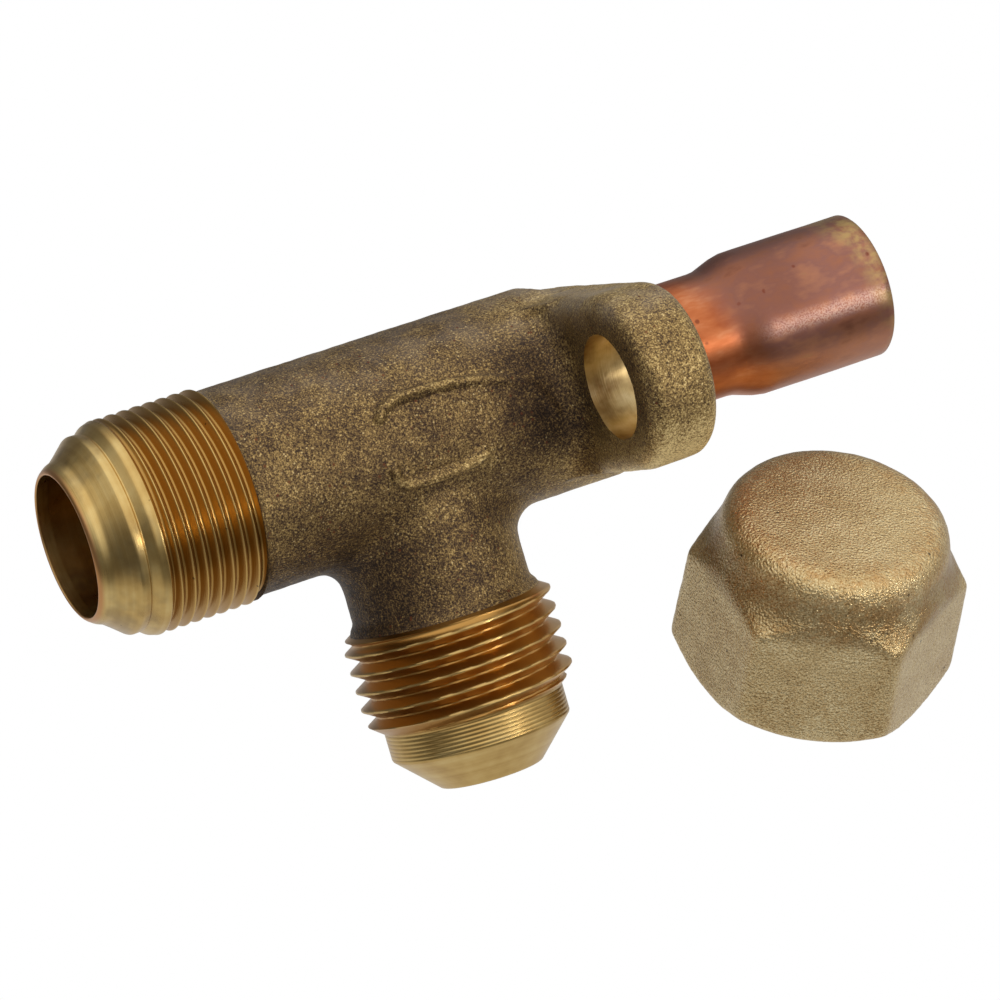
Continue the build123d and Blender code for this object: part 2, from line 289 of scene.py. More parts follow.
ear = skin.x.rise(-7.0, -4.5) * skin.y.rise(-7.0, -9.5)
flange = skin.x.rise(-6.0, -4.0)
near_flange = skin.x.rise(-13.0, -7.0)
top_and_foot = skin.z.rise(-3.5, -6.5) * 0.16 + skin.z.rise(4.0, 6.5) * 0.14
neck_right = skin.z.rise(-6.5, -8.5) * skin.x.rise(FLARE_X + 1.0, FLARE_X + 5.0)
lit = ear * skin.z.rise(-1.5, -5.0) * 0.3 + flange * 0.15 + near_flange * top_and_foot + neck_right * 0.12

# The raised die mark on the barrel's near side is paler too.
barrel_side = skin.y.rise(-4.0, -5.5) * skin.x.rise(-6.5, -7.5) * skin.z.rise(-5.0, -4.2)
barrel_radius = from_axis(skin.y, skin.z)
lit = lit + barrel_radius.rise(7.9, 8.2) * barrel_side * 0.14
print("masks of the forged skin take", len(skin.tree.nodes), "nodes")

# %% [markdown]
# The skin's colour is one ramp from near black to pale bronze. Fine specks drive it, and the
# masks push it darker with painted shade or lighter with painted light. A greyish film,
# rust-brown specks and small bright flakes, partly painted glints, go on top, and two bumps,
# one coarse and one fine, make the orange peel and the grit.

# %% Forged skin: colour and grit
tone = (speck * 2.3 - 0.66 - dark * 0.5 + lit).maths("ADD", 0.0, clamp=True)
bronze = skin.ramp(
    tone,
    (0.0, rgb(43, 32, 25)),
    (0.28, rgb(84, 64, 42)),
    (0.5, rgb(128, 103, 62)),
    (0.72, rgb(172, 144, 90)),
    (1.0, rgb(226, 200, 140)),
)
grey_film = skin.z.rise(3.5, 6.5) * skin.cloud(2.5, 2.0).rise(0.3, 0.7)
grey_film = grey_film * (0.24 + skin.x.rise(-9.0, -6.0) * 0.3)
bronze = skin.blend(grey_film, bronze, rgb(150, 136, 122))
rust = skin.cells(0.8).rise(0.16, 0.1) * skin.cloud(3.0, 1.0, shift=3.1).rise(0.45, 0.55)
bronze = skin.blend(rust * 0.8, bronze, rgb(96, 50, 28))
# Small bright flakes: shiny spots of the grit, painted pale as glints, fewer where the skin is darker.
flake_glint = skin.cells(0.42, at=skin.join(skin.x + 3.0, skin.y, skin.z)).rise(0.2, 0.12)
flake_glint = flake_glint * (skin.cloud(2.2, 2.0, shift=9.4) - dark * 0.3).rise(0.3, 0.5)
bronze = skin.blend(flake_glint * 0.6, bronze, rgb(214, 188, 132))
orange_peel = skin.relief(skin.cloud(0.7, 2.0, 0.5), 0.09, 0.6)
skin_metal = skin.wear(
    Base_Color=bronze,
    Roughness=0.38 + dark * 0.14 + speck * 0.1 - flake_glint * 0.14,
    Normal=skin.relief(skin.cloud(0.17, 2.0, 0.6, shift=1.7), 0.075, 0.9, under=orange_peel),
)

# %% [markdown]
# Machined brass is brighter and yellower. Each tool pass leaves fine rings around the turning
# axis, so the pattern depends only on the place along that axis and, more weakly, on the
# distance from it. The nose turns about X and the flare branch about Z.


# %% Turned brass on either axis
def turned_finish(name, axis):
    """Start a turned finish. Gives the finish and the wires that both ends build on."""
    brass = Finish(name, Metallic=1.0)
    if axis == "X":
        along, side, up = brass.x, brass.y, brass.z
    else:
        along, side, up = brass.z, brass.x - FLARE_X, brass.y
    radius = from_axis(side, up)
    rings = brass.cloud(0.07, 2.0, 0.6, at=brass.join(along, radius * 0.6, 0.0))
    wide_rings = brass.cloud(0.5, 2.0, 0.5, at=brass.join(along, radius * 0.3, 3.0))
    stain = brass.cloud(2.4, 3.0, 0.55)
    colour = brass.ramp(
        stain * 0.6 + wide_rings * 0.4,
        (0.25, rgb(166, 129, 71)),
        (0.5, rgb(200, 167, 103)),
        (0.75, rgb(222, 196, 134)),
    )
    return brass, along, radius, rings, stain, colour


print("turned finish ready for both ends")

# %% [markdown]
# On the nose the rolled lip is a little redder, and painted shade darkens the bore behind it,
# with a ragged edge. The thread is deeper in colour than the land beside it, with a painted
# highlight on its crests and painted shade towards its roots. A smoke-like film, a painted
# dark reflection on the near side of the cone and a few nicks break up the even brass.

# %% Nose brass
nose_brass, along, radius, rings, stain, colour = turned_finish("turned_nose_brass", "X")
outside = radius.rise(5.75, 5.95)
lip = along.rise(NOSE_X + 0.42, NOSE_X + 0.12) * radius.rise(5.2, 5.4)
colour = nose_brass.blend(lip * (0.35 + stain * 0.6), colour, rgb(192, 126, 82))
thread_zone = along.rise(CAP_THREAD_START, CAP_THREAD_START + 0.3) * outside
# The ramp paints a highlight on the thread's crests and shade towards its roots.
thread_colour_and_shading = nose_brass.ramp(
    radius.rise(7.99, 7.88),
    (0.0, rgb(200, 164, 98)),
    (0.6, rgb(180, 141, 78)),
    (1.0, rgb(172, 132, 70)),
)
colour = nose_brass.blend(thread_zone, colour, thread_colour_and_shading)
# Painted shade inside the bore, with a ragged edge.
ragged = along + nose_brass.cloud(1.1, 3.0, 0.6) * 0.5
bore_shade = (1.0 - outside) * ragged.rise(NOSE_X + 1.42, NOSE_X + 1.52)
colour = nose_brass.blend(bore_shade, colour, rgb(70, 60, 52))
# A painted dark reflection on the near side of the cone.
cone_dark_reflection = along.bump(NOSE_X + 0.7, NOSE_X + 1.4, NOSE_X + 2.4, NOSE_X + 3.4)
cone_dark_reflection = cone_dark_reflection * nose_brass.z.bump(-3.6, -1.8, 0.6, 2.4)
cone_dark_reflection = cone_dark_reflection * nose_brass.y.rise(-3.0, -4.5) * outside * (0.5 + rings * 0.5)
colour = nose_brass.blend(cone_dark_reflection * 0.65, colour, rgb(142, 114, 70))
smoke = nose_brass.cloud(3.4, 3.0, 0.6, shift=2.6).rise(0.5, 0.68)
smoke = smoke * outside * along.rise(CAP_THREAD_START, CAP_THREAD_START - 0.6)
colour = nose_brass.blend(smoke * 0.4, colour, rgb(126, 108, 78))
nick = nose_brass.cells(1.9).rise(0.07, 0.035) * stain.rise(0.42, 0.5)
colour = nose_brass.blend(nick * 0.8, colour, rgb(74, 50, 30))
nose_metal = nose_brass.wear(
    Base_Color=colour,
    Roughness=0.2 + stain * 0.14 + rings * 0.06,
    Normal=nose_brass.relief(rings, 0.012, 0.8),
)

# %% [markdown]
# The flare end has the same brass. Its land between thread and cone carries parting grooves
# every 0.3 mm, drawn by a sine along the axis, with painted shade in them. The thread has a
# painted highlight on its crests, painted shade towards its roots and a painted reflection on
# its right side, and painted shade darkens the port's wall inside.

# %% Flare brass
LAND_GROOVE_PITCH = 0.3
flare_brass, along, radius, rings, stain, colour = turned_finish("turned_flare_brass", "Z")
thread_zone = along.rise(-20.45, -20.3) * radius.rise(6.7, 6.8)
# The ramp paints a highlight on the thread's crests and shade towards its roots.
thread_colour_and_shading = flare_brass.ramp(
    radius.rise(7.88, 7.7),
    (0.0, rgb(192, 160, 100)),
    (0.5, rgb(180, 140, 80)),
    (1.0, rgb(178, 134, 72)),
)
# A painted warm reflection on the thread's flanks at its right.
right_flank_reflection = along.rise(-20.5, -20.3) * flare_brass.x.rise(FLARE_X + 1.0, FLARE_X + 5.0)
thread_colour_and_shading = flare_brass.blend(right_flank_reflection * 0.55, thread_colour_and_shading, rgb(236, 190, 118))
colour = flare_brass.blend(thread_zone, colour, thread_colour_and_shading)
groove = (along * (2 * math.pi / LAND_GROOVE_PITCH)).maths("SINE")
land = along.bump(-22.65, -22.5, -20.6, -20.45)
# Painted shade darkens the bottom of each groove on the land.
colour = flare_brass.blend(groove.rise(0.3, 0.9) * land * 0.45, colour, rgb(128, 92, 44))
# Painted shade darkens the port's wall inside.
colour = flare_brass.blend(radius.rise(3.8, 3.6), colour, rgb(104, 78, 48))
fine_rings = flare_brass.relief(rings, 0.012, 0.8)
flare_metal = flare_brass.wear(
    Base_Color=colour,
    Roughness=0.22 + stain * 0.12 + rings * 0.06,
    Normal=flare_brass.relief(groove * -0.5 * land, 0.03, 0.7, under=fine_rings),
)

# %% [markdown]
# Drilled walls and the spindle are cut brass too. Most of their tools feed along X and leave
# close lines across that way, so this finish is paler, with faint lines that change along X.

# %% Drilled brass
drilled = Finish("drilled_brass", Metallic=1.0)
feed = drilled.cloud(0.12, 2.0, 0.6, at=drilled.join(drilled.x, drilled.y * 0.04, drilled.z * 0.04))
film = drilled.cloud(1.8, 3.0, 0.55)
drilled_colour = drilled.ramp(
    film,
    (0.3, rgb(150, 122, 78)),
    (0.55, rgb(200, 174, 122)),
    (0.8, rgb(226, 206, 158)),
)
drilled_metal = drilled.wear(
    Base_Color=drilled_colour,
    Roughness=0.26 + film * 0.16,
    Normal=drilled.relief(feed, 0.02, 0.6),
)

# %% [markdown]
# Copper takes on heat colours when the stub is brazed: orange-red near the joint, pink and
# brown towards the swaged socket, gold at its rim, a scorched band over the swage and small
# dark spots of oxide. A broken, pale painted highlight streak runs along its near side, and
# its underside is painted paler, as light from below. The tube is drawn smooth, so its bump
# is slight and the rest is colour and roughness.

# %% Heat-tinted copper
copper = Finish("heat_tinted_copper", Metallic=1.0)
cool = (copper.x + copper.z * 0.45 + copper.cloud(2.5, 3.0, shift=6.0) * 2.0).rise(9.0, 12.5)
cloudy = copper.cloud(3.2, 3.0, 0.55)
streaks = copper.cloud(1.2, 3.0, 0.6, at=copper.join(copper.x * 0.35, copper.y, copper.z))
hot = copper.ramp(
    streaks,
    (0.3, rgb(166, 86, 48)),
    (0.55, rgb(188, 110, 68)),
    (0.8, rgb(210, 146, 106)),
)
tarnish = copper.ramp(
    cloudy * 0.55 + streaks * 0.45,
    (0.3, rgb(126, 78, 62)),
    (0.42, rgb(158, 104, 80)),
    (0.52, rgb(146, 100, 88)),
    (0.62, rgb(172, 118, 92)),
    (0.75, rgb(166, 132, 94)),
)
tint = copper.blend(cool, hot, tarnish)
# Painted light: the underside of the tube is paler, as if lit from below.
tint = copper.blend(copper.z.rise(-1.5, -4.0) * 0.32, tint, rgb(228, 160, 116))
# A broken, pale painted highlight streak along the tube's near side.
painted_streak = copper.y.rise(-3.5, -5.0) * copper.z.bump(-1.6, -0.9, -0.6, 0.4) * copper.x.rise(10.0, 13.0)
painted_streak = painted_streak * copper.cloud(0.14, 2.0, 0.6, shift=4.4).rise(0.36, 0.6)
tint = copper.blend(painted_streak * 0.3, tint, rgb(232, 208, 188))
rim = (copper.x + copper.z * 0.3).rise(19.6, 22.4)
rim_patches = rim * copper.cloud(1.4, 3.0, 0.6, shift=8.0).rise(0.35, 0.65)
tint = copper.blend(rim_patches * 0.8, tint, rgb(196, 166, 104))
scorch = copper.x.bump(7.0, 11.5, 13.5, 18.0) * copper.z.bump(-2.0, 1.0, 4.0, 6.5)
tint = copper.blend(scorch * 0.45, tint, rgb(120, 74, 56))
spots = copper.cells(1.5).rise(0.16, 0.08) * copper.cloud(2.0, 1.0, shift=2.2).rise(0.5, 0.58)
tint = copper.blend(spots * 0.7, tint, rgb(118, 58, 42))
drawn_lines = copper.relief(copper.cloud(0.12, 2.0), 0.008, 0.6)
copper_metal = copper.wear(
    Base_Color=tint,
    Roughness=0.27 + cloudy * 0.16 + copper.cloud(0.14, 1.0) * 0.08,
    Normal=copper.relief(copper.cloud(1.1, 2.0), 0.03, 0.5, under=drawn_lines),
)

# %% [markdown]
# The cap lies tilted beside the valve. Its mount for the inner thread says where the thread's
# middle is and which way the mouth opens, which gives the cap a frame of its own: origin in
# the middle of the mouth, Z up to the crown. A Mapping node brings the finish into that frame.

# %% Where the cap lies
cap_thread_middle, cap_axis_out = mount_mm("cap_inner_thread")
CAP_AXIS = -cap_axis_out
CAP_THREAD_DEPTH = mounts["cap_inner_thread"]["dims"]["length_mm"]
CAP_PLACE = cap_thread_middle - CAP_AXIS * CAP_THREAD_DEPTH / 2
CAP_HEADING = math.degrees(math.atan2(CAP_AXIS.y, CAP_AXIS.x))
CAP_LEAN = math.degrees(math.acos(CAP_AXIS.z))
CAP_TURN = 52.2
cap_turn = (
    Matrix.Rotation(math.radians(CAP_HEADING), 4, "Z")
    @ Matrix.Rotation(math.radians(CAP_LEAN), 4, "Y")
    @ Matrix.Rotation(math.radians(CAP_TURN), 4, "Z")
)
cap_frame = Matrix.Translation(CAP_PLACE) @ cap_turn


def place_on_cap(finish):
    """The place in the cap's own frame, in millimetres."""
    angles = tuple(cap_turn.to_euler("XYZ"))
    sockets = {"Vector": finish.place, "Location": tuple(CAP_PLACE), "Rotation": angles}
    return finish.node("Mapping", {"vector_type": "TEXTURE"}, sockets)


print("cap's mouth at", [round(v, 2) for v in CAP_PLACE])
print("cap heads", round(CAP_HEADING, 1), "and leans", round(CAP_LEAN, 1), "degrees")

# %% [markdown]
# The cap is forged from paler brass and blasted with fine beads, which leaves a satin grain.
# The edge of its crown is warmer in colour in patches, painted shade darkens the shoulder
# under it, and a few pits are left.

# %% Bead-blasted cap brass
blasted = Finish("blasted_cap_brass", Metallic=0.9)
on_cap = place_on_cap(blasted)
cap_x, cap_y, cap_z = blasted.split(on_cap)
beads = blasted.cloud(0.13, 2.0, 0.6, at=on_cap)
shade = blasted.cloud(2.8, 3.0, 0.55, at=on_cap)
cap_colour = blasted.ramp(
    beads * 0.75 + shade * 0.25,
    (0.28, rgb(140, 110, 70)),
    (0.43, rgb(186, 156, 106)),
    (0.56, rgb(210, 187, 139)),
    (0.72, rgb(240, 222, 178)),
)
rim_out = from_axis(cap_x, cap_y)
crown_edge = cap_z.bump(9.2, 10.4, 12.6, 14.5) + cap_z.rise(13.9, 14.4) * rim_out.rise(4.5, 7.5)
blush_cloud = blasted.cloud(0.35, 2.0, at=on_cap) * 0.5 + blasted.cloud(1.6, 2.0, at=on_cap) * 0.5
blush = crown_edge * blush_cloud.rise(0.44, 0.58)
cap_colour = blasted.blend(blush * 0.42, cap_colour, rgb(172, 120, 62))
# Painted shade: darker on the shoulder under the crown's edge.
under_crown_shade = cap_z.bump(9.0, 10.0, 12.2, 13.2) * rim_out.rise(10.4, 9.4)
cap_colour = blasted.blend(under_crown_shade * 0.35, cap_colour, rgb(110, 84, 50))
pits = blasted.cells(1.7, at=on_cap).rise(0.09, 0.05)
pits = pits * blasted.cloud(2.6, 1.0, at=on_cap, shift=4.0).rise(0.5, 0.56)
cap_colour = blasted.blend(pits * 0.8, cap_colour, rgb(52, 40, 30))
uneven = blasted.relief(blasted.cloud(0.6, 2.0, at=on_cap), 0.03, 0.4)
bead_dents = blasted.cloud(0.18, 1.0, 0.5, at=on_cap, shift=0.9)
cap_metal = blasted.wear(
    Base_Color=cap_colour,
    Roughness=0.24 + beads * 0.1,
    Normal=blasted.relief(bead_dents, 0.12, 1.0, under=uneven),
)

# %% [markdown]
# Inside, the cap is bored and tapped, so its brass is bright and yellow, with rings round the
# cap's own axis.

# %% Tapped brass
tapped = Finish("tapped_cap_brass", Metallic=1.0)
tap_x, tap_y, tap_z = tapped.split(place_on_cap(tapped))
tap_radius = from_axis(tap_x, tap_y)
tap_rings = tapped.cloud(0.1, 2.0, at=tapped.join(tap_z, tap_radius * 0.5, 0.0))
tap_film = tapped.cloud(2.0, 3.0)
tapped_colour = tapped.ramp(
    tap_film,
    (0.3, rgb(176, 130, 62)),
    (0.6, rgb(216, 176, 100)),
    (0.8, rgb(236, 206, 138)),
)
tapped_metal = tapped.wear(
    Base_Color=tapped_colour,
    Roughness=0.22 + tap_film * 0.14,
    Normal=tapped.relief(tap_rings, 0.015, 0.7),
)

# %% [markdown]
# The O-ring's rubber is a dull black. The braze is a paler, silvery brass that has run and
# frozen unevenly. Both are seen little, so they stay simple.

# %% Ring rubber and braze
rubber = Finish("ring_rubber_black", Metallic=0.0)
rubber_cloud = rubber.cloud(0.5, 3.0)
ring_black = rubber.wear(
    Base_Color=rubber.ramp(rubber_cloud, (0.3, rgb(22, 22, 23)), (0.7, rgb(40, 40, 41))),
    Roughness=0.45 + rubber_cloud * 0.2,
    Normal=rubber.relief(rubber.cloud(0.08), 0.006, 0.6),
)

braze = Finish("braze_silver", Metallic=0.95)
braze_cloud = braze.cloud(0.8, 3.0)
braze_colour = braze.ramp(
    braze_cloud,
    (0.3, rgb(150, 112, 74)),
    (0.55, rgb(190, 160, 112)),
    (0.8, rgb(212, 194, 160)),
)
braze_metal = braze.wear(
    Base_Color=braze_colour,
    Roughness=0.3 + braze_cloud * 0.25,
    Normal=braze.relief(braze.cloud(0.4, 2.0), 0.04, 0.7),
)

# %% [markdown]
# Turned shapes are drawn as a line of points and spun once round an axis, as on a lathe. The
# line can have its corners rounded, and it can be given more points where a thread will need
# them.


# %% Lathe and its line
def lathe(profile, steps=256, closed=True):
    """Spin (along, radius) points once about Z, in millimetres, about the origin."""
    bm = bmesh.new()
    points = [bm.verts.new((radius, 0.0, along)) for along, radius in profile]
    edges = [bm.edges.new(pair) for pair in zip(points, points[1:])]
    if closed:
        edges.append(bm.edges.new((points[-1], points[0])))
    bmesh.ops.spin(
        bm,
        geom=points + edges,
        cent=(0, 0, 0),
        axis=(0, 0, 1),
        angle=2 * math.pi,
        steps=steps,
        use_merge=True,
    )
    bmesh.ops.remove_doubles(bm, verts=bm.verts, dist=1e-5)
    bmesh.ops.recalc_face_normals(bm, faces=bm.faces)
    return bm


def fine(points, step):
    """The same line of points, with more of them where two are further apart than step."""
    out = [points[0]]
    for (a0, r0), (a1, r1) in zip(points, points[1:]):
        count = max(1, math.ceil(math.hypot(a1 - a0, r1 - r0) / step))
        for i in range(1, count + 1):
            out.append((a0 + (a1 - a0) * i / count, r0 + (r1 - r0) * i / count))
    return out


def rounded(points, radius, arc=5):
    """The same line, with each inner corner replaced by a curve that starts radius away or less."""
    out = [points[0]]
    for before, corner, after in zip(points, points[1:], points[2:]):
        a, c, b = Vector(before), Vector(corner), Vector(after)
        cut = min(radius, (a - c).length * 0.45, (b - c).length * 0.45)
        start, end = c + (a - c).normalized() * cut, c + (b - c).normalized() * cut
        for i in range(arc + 1):
            t = i / arc
            out.append(tuple((1 - t) ** 2 * start + 2 * t * (1 - t) * c + t**2 * end))
    return out + [points[-1]]


X_FROM_Z = Matrix.Rotation(math.radians(90), 4, "Y")
print("lathe ready; its Z axis turns to", [round(v) for v in X_FROM_Z @ Vector((0, 0, 1))])

# %% [markdown]
# A thread is a lathe blank with rings close together, whose points are then pushed in to the
# thread's flanks, as a die cuts it. That keeps the blank's surface closed. Points that already
# lie deeper stay, and the cut can fade out over a given length at either end.


# %% Cutting a thread
def cut_thread(bm, start, end, crest, depth, pitch, root_flat, crest_flat, fade=(0.0, 0.0)):
    """Push points between start and end in to a right-hand thread. Deeper points stay."""
    moved = 0
    for vert in bm.verts:
        along, radius = vert.co.z, math.hypot(vert.co.x, vert.co.y)
        if not start - 1e-6 <= along <= end + 1e-6 or radius < crest - depth - 0.05:
            continue
        turns = (along - start) / pitch - math.atan2(vert.co.y, vert.co.x) / (2 * math.pi)
        away = abs(2 * (turns % 1.0) - 1)  # 1 on the crest's middle, 0 in the root's middle
        height = min(1.0, max(0.0, (away - root_flat) / (1 - root_flat - crest_flat)))
        keep = 1.0
        if fade[0] and along < start + fade[0]:
            keep = (along - start) / fade[0]
        if fade[1] and along > end - fade[1]:
            keep = (end - along) / fade[1]
        target = crest - depth * (1 - height) * keep
        if radius > target:
            vert.co.xy *= target / radius
            moved += 1
    return moved


print("thread cutter ready")

# %% [markdown]
# A finished mesh is scaled to metres at the very end, with its place in the mesh, and handed
# to an object that rides on a body of the frame and replaces a CAD node. Edges steeper than
# an angle stay crisp.


# %% Finishing a piece
def sharpen(bm, angle):
    """Smooth faces, with every edge steeper than the angle kept crisp."""
    for face in bm.faces:
        face.smooth = True
    for edge in bm.edges:
        edge.smooth = len(edge.link_faces) == 2 and edge.calc_face_angle(0.0) < math.radians(angle)


def finish_piece(name, bm, body, slot, *materials, replaces, crisp):
    """Scale to metres, hand the mesh to an object on the body and hide the CAD nodes it replaces."""
    sharpen(bm, crisp)
    bmesh.ops.scale(bm, vec=(MM, MM, MM), verts=bm.verts)
    mesh = bpy.data.meshes.new(name)
    bm.to_mesh(mesh)
    bm.free()
    piece = bpy.data.objects.new(name, mesh)
    bpy.context.collection.objects.link(piece)
    for material in materials:
        mesh.materials.append(material)
    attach(piece, body)
    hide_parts(*replaces)
    print(name, sum(len(p.vertices) - 2 for p in mesh.polygons), "triangles")


print("finisher ready")

# %% [markdown]
# Forged pieces need two of Blender's modifiers: a voxel remesh, which wraps a solid in an even
# net, and a boolean, which cuts bores into it. A modifier works on an object, so each runs on
# a scratch object, which is thrown away once the result has been read.


# %% Scratch objects and modifiers
def scratch_object(name, bm):
    """An object that only exists while another one is being made."""
    mesh = bpy.data.meshes.new(name)
    bm.to_mesh(mesh)
    bm.free()
    made = bpy.data.objects.new(name, mesh)
    bpy.context.collection.objects.link(made)
    return made


def throw_away(scratch):
    mesh = scratch.data
    bpy.data.objects.remove(scratch)
    bpy.data.meshes.remove(mesh)


def through_modifiers(bm, name, modifiers):
    """Run a mesh through modifiers and return the result as a new bmesh."""
    carrier = scratch_object(name, bm)
    for kind, settings in modifiers:
        modifier = carrier.modifiers.new(kind.lower(), kind)
        for key, value in settings.items():
            setattr(modifier, key, value)
    graph = bpy.context.evaluated_depsgraph_get()
    result = bmesh.new()
    result.from_mesh(carrier.evaluated_get(graph).to_mesh())
    throw_away(carrier)
    return result


def even_net(bm, name, cell):
    """The same surface as an even net of squares, this many millimetres wide."""
    settings = {"mode": "VOXEL", "voxel_size": cell, "use_smooth_shade": True}
    return through_modifiers(bm, name, [("REMESH", settings)])


def cut_with(bm, name, cutters):
    """Boolean difference with each cutter in turn. The cut walls take material index 1."""
    tools = []
    for i, cutter in enumerate(cutters):
        for face in cutter.faces:
            face.material_index = 1
        tools.append(scratch_object(name + "_tool_%d" % i, cutter))
    settings = {"operation": "DIFFERENCE", "solver": "MANIFOLD", "material_mode": "INDEX"}
    cuts = [("BOOLEAN", {**settings, "object": tool}) for tool in tools]
    result = through_modifiers(bm, name, cuts)
    for tool in tools:
        throw_away(tool)
    return result


print("scratch tools ready")

# %% [markdown]
# A forged piece starts from the CAD solid with its bores taken out and closed. It is netted,
# smoothed and dented, and the bores are cut again last, so that their edges are crisp.


# %% Blanks, softening and slicing
def blank_of(node, hidden):
    """The CAD solid in millimetres with its bores taken out and capped, ready for a net."""
    bm = bmesh.new()
    bm.from_mesh(nodes[node].data)
    bmesh.ops.scale(bm, vec=(1 / MM,) * 3, verts=bm.verts)
    bmesh.ops.remove_doubles(bm, verts=bm.verts, dist=2e-4)
    doomed = [face for face in bm.faces if all(hidden(vert.co) for vert in face.verts)]
    bmesh.ops.delete(bm, geom=doomed, context="FACES")
    close_holes(bm)
    print(node, "blank:", len(doomed), "bore faces out,", count_open(bm), "open edges left")
    return bm


def close_holes(bm):
    bmesh.ops.holes_fill(bm, edges=[edge for edge in bm.edges if edge.is_boundary], sides=0)


def count_open(bm):
    return sum(edge.is_boundary for edge in bm.edges)


def soften(bm, verts):
    """One round of smoothing, half way to the neighbours' middle."""
    bmesh.ops.smooth_vert(bm, verts=verts, factor=0.5, use_axis_x=True, use_axis_y=True, use_axis_z=True)


def slice_off(bm, point, towards):
    """Cut away what lies beyond the plane, and close the cut."""
    everything = bm.verts[:] + bm.edges[:] + bm.faces[:]
    bmesh.ops.bisect_plane(bm, geom=everything, plane_co=point, plane_no=towards, clear_outer=True)
    close_holes(bm)


print("blank helpers ready")

# %% [markdown]
# Body forging. The CAD body is copied, its bores are closed and it is wrapped in an even net of
# 0.24 mm squares, fine enough to carry the die mark and the dents of a real stamping.

# %% Body forging: blank and net
FORGING_CELL = 0.24


def in_a_bore(co):
    """True on the wall of a bore, hole or socket of the body, and inside it."""
    head_bore = math.hypot(co.y, co.z) < HEAD_BORE_R + 0.01 and co.x < -1e-3
    port = math.hypot(co.x - FLARE_X, co.y) < PORT_R + 0.02 and co.z < -2.0
    ear_hole = math.hypot(abs(co.y) - EAR_HOLE_Y, co.z) < EAR_HOLE_R + 0.02
    socket = math.hypot(co.y, co.z) < STUB_SOCKET_R + 0.01
    return head_bore or port or ear_hole or socket


forging = even_net(blank_of("valve_body", in_a_bore), "forging_net", FORGING_CELL)
for _ in range(2):
    soften(forging, forging.verts)
print("forging net", len(forging.verts), "points")

# %% [markdown]
# Two raised lines on the barrel are a die mark's broken frame. They are drawn on the unrolled
# barrel, as places along it and round it, and every point of the net near a line is lifted.
# Slow noise dents the rest of the skin, except on the flange's flat mounting face.

# %% Body forging: die mark and dents
BARREL_R = 7.7
MARK_HEIGHT = 0.6
MARK_HALF_WIDTH = 0.36
UPPER_LINE = [
    (-20.5, 2.4),
    (-20.0, 3.0),
    (-19.0, 3.35),
    (-17.1, 3.45),
    (-14.2, 3.2),
    (-12.4, 2.9),
    (-10.5, 2.3),
    (-8.9, 1.5),
    (-7.9, 0.0),
    (-7.4, -1.1),
]
LOWER_LINE = [
    (-20.6, -1.4),
    (-20.5, -2.2),
    (-19.7, -2.8),
    (-18.2, -2.9),
    (-16.1, -2.9),
    (-14.5, -2.7),
    (-13.5, -2.3),
]


def distance_to_line(point, line):
    best = math.inf
    for a, b in zip(line, line[1:]):
        a, b, p = Vector(a), Vector(b), Vector(point)
        t = max(0.0, min(1.0, (p - a).dot(b - a) / (b - a).length_squared))
        best = min(best, (a + (b - a) * t - p).length)
    return best


def ridge(distance):
    """The die mark's height at this distance from a line: flat on top, with steep sides."""
    return math.exp(-((distance / MARK_HALF_WIDTH) ** 4))


forging.normal_update()
for vert in forging.verts:
    co = vert.co
    lump = noise.fractal(co * 0.5, 1.0, 2.0, 3) * 0.028 + noise.noise(co * 1.9) * 0.016
    mark = 0.0
    if co.y < -3.0 and -23 < co.x < -5 and abs(co.z) < 6.0:
        spot = (co.x, BARREL_R * math.atan2(co.z, -co.y))
        upper, lower = distance_to_line(spot, UPPER_LINE), distance_to_line(spot, LOWER_LINE)
        fade = min(1.0, max(0.25, (-6.0 - co.x) / 9.0))  # the upper line sinks near the flange
        mark = MARK_HEIGHT * fade * ridge(upper) + MARK_HEIGHT * ridge(lower)
    on_flat_back = co.x > -0.25
    vert.co += vert.normal * ((0.0 if on_flat_back else lump) + mark)
print("die mark raised and skin dented")

# %% [markdown]
# The turned ends are sliced off, because they are pieces of their own. Then the passages, the
# port and the holes in the ears are drilled with crisp cutters.

# %% Body forging: slice and drill
slice_off(forging, (CAP_THREAD_END, 0, 0), (-1, 0, 0))
slice_off(forging, (0, 0, -13.0), (0, 0, -1))
print("open edges after slicing:", count_open(forging))

passages = lathe(
    [
        (CAP_THREAD_END - 1, 0),
        (CAP_THREAD_END - 1, HEAD_BORE_R),
        (FLARE_X - 11.8, HEAD_BORE_R),
        (FLARE_X - 11.8, GLAND_R),
        (FLARE_X + 5.2, GLAND_R),
        (FLARE_X + 6.5, PASSAGE_R),
        (STUB_SOCKET_X, PASSAGE_R),
        (STUB_SOCKET_X, STUB_SOCKET_R),
        (1.0, STUB_SOCKET_R),
        (1.0, 0),
    ],
    128,
    closed=False,
)
passages.transform(X_FROM_Z)
port_drill = lathe([(-14.0, 0), (-14.0, PORT_R), (0.0, PORT_R), (0.0, 0)], 96, closed=False)
port_drill.transform(Matrix.Translation((FLARE_X, 0, 0)))
drills = [passages, port_drill]
for side in (-1, 1):
    drill = lathe([(-7.0, 0), (-7.0, EAR_HOLE_R), (1.0, EAR_HOLE_R), (1.0, 0)], 128, closed=False)
    drill.transform(Matrix.Translation((0, EAR_HOLE_Y * side, 0)) @ X_FROM_Z)
    drills.append(drill)
finish_piece(
    "body_forging",
    cut_with(forging, "forging_drilled", drills),
    "valve",
    "forged_brass",
    skin_metal,
    drilled_metal,
    replaces=("valve_body",),
    crisp=38.0,
)

